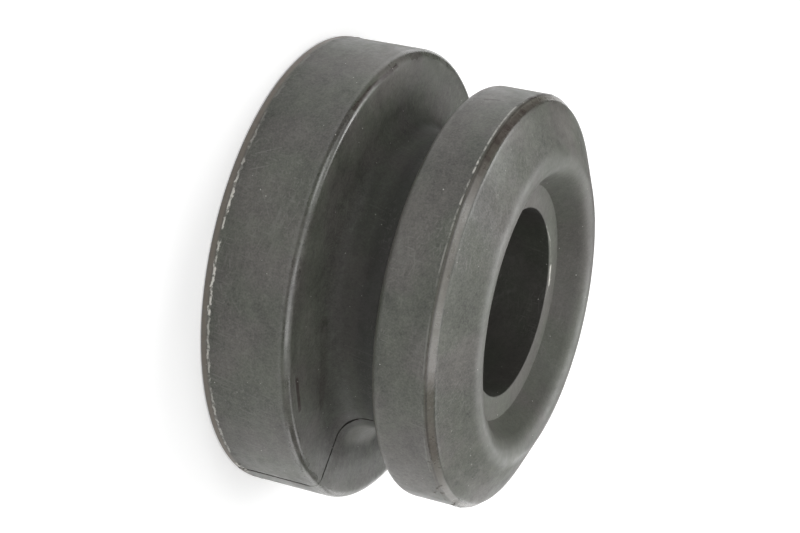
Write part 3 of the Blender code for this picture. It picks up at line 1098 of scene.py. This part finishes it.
def light_world(studio):
    """Faint light from all round, in front of white for the camera."""
    world = bpy.data.worlds.new("soft_studio")
    bpy.context.scene.world = world
    world.use_nodes = True
    sheet = Sheet(world.node_tree)
    nodes = world.node_tree.nodes
    soft = nodes["Background"]
    sheet.feed(soft.inputs["Color"], WHITE)
    soft.inputs["Strength"].default_value = studio.sky_level
    white = sheet.out("ShaderNodeBackground", {"Color": WHITE, "Strength": 1.0})
    seen = sheet.out("ShaderNodeLightPath", output="Is Camera Ray")
    chosen = sheet.out("ShaderNodeMixShader", {0: seen, 1: soft.outputs[0], 2: white})
    sheet.feed(nodes["World Output"].inputs["Surface"], chosen)


# Each group of softboxes: its level, its share of the common size, its height over the horizon and the
# ways that it stands in, in degrees from +X
SOFTBOXES = (
    ("key_level", 1.5, 50, (322,)),
    ("side_level", 1.0, 50, (222, 262)),
    ("overhead_level", 1.0, 70, (0, 72, 144, 216, 288)),
    ("rear_level", 1.0, 50, (80, 120, 160)),
    ("low_level", 1.0, 8, (30, 60, 90)),
    ("edge_level", 0.8, 44, (243,)),
    ("cone_level", 1.0, 60, (142,)),
    ("crest_level", 0.6, 25, (108,)),
)


def hang_softboxes(studio):
    """Square lamps of an even brightness that face the bushing, where a level of 1 is white."""
    for group, share, elevation, azimuths in SOFTBOXES:
        size = studio.softbox_size * share
        lamp = bpy.data.lights.new(group, "AREA")
        lamp.shape = "SQUARE"
        lamp.size = size
        lamp.energy = getattr(studio, group) * pi * size**2
        up = radians(elevation)
        for azimuth in azimuths:
            turn = radians(azimuth)
            facing = Vector((cos(up) * cos(turn), cos(up) * sin(turn), sin(up)))
            obj = added(f"{group}_{azimuth}", lamp)
            obj.location = studio.softbox_distance * facing
            obj.rotation_euler = (-facing).to_track_quat("-Z", "Y").to_euler()


def set_camera(studio):
    """The camera at the photograph's viewing angle."""
    data = bpy.data.cameras.new("camera")
    data.sensor_width = SENSOR_WIDTH_MM
    data.lens = studio.camera_lens
    data.clip_start = 0.01
    camera = added("camera", data)
    camera.matrix_world = camera_matrix(studio)
    bpy.context.scene.camera = camera


class BUSHING_OT_stage(bpy.types.Operator):
    """Lay the floor, light the studio and place the camera"""

    bl_idname = "bushing.stage"
    bl_label = "Studio"

    def execute(self, context):
        studio = context.scene.bushing_studio
        make_floor(studio)
        light_world(studio)
        hang_softboxes(studio)
        set_camera(studio)
        context.scene.view_settings.view_transform = "Standard"
        return {"FINISHED"}


class BUSHING_PT_panel(bpy.types.Panel):
    """The bushing's sizes, finish and studio"""

    bl_idname = "BUSHING_PT_panel"
    bl_label = "Sway Bar Bushing"
    bl_space_type = "VIEW_3D"
    bl_region_type = "UI"
    bl_category = "Bushing"

    def draw(self, context):
        layout = self.layout
        for operator in OPERATORS:
            layout.operator(operator.bl_idname)
        for pointer in GROUPS:
            group = getattr(context.scene, pointer)
            box = layout.box()
            for name in group.bl_rna.properties.keys():
                if name not in ("name", "rna_type"):
                    box.prop(group, name)


GROUPS = {
    "bushing_shape": BushingShape,
    "bushing_relief": BushingRelief,
    "bushing_rubber": BushingRubber,
    "bushing_studio": BushingStudio,
}
OPERATORS = (BUSHING_OT_body, BUSHING_OT_crumbs, BUSHING_OT_dust, BUSHING_OT_stage)


def register():
    for cls in (*GROUPS.values(), *OPERATORS, BUSHING_PT_panel):
        bpy.utils.register_class(cls)
    for pointer, cls in GROUPS.items():
        setattr(bpy.types.Scene, pointer, PointerProperty(type=cls))


def unregister():
    for pointer in GROUPS:
        delattr(bpy.types.Scene, pointer)
    for cls in reversed((*GROUPS.values(), *OPERATORS, BUSHING_PT_panel)):
        bpy.utils.unregister_class(cls)


def main():
    register()
    bpy.ops.bushing.body()
    bpy.ops.bushing.crumbs()
    bpy.ops.bushing.dust()
    bpy.ops.bushing.stage()


if __name__ == "__main__":
    main()
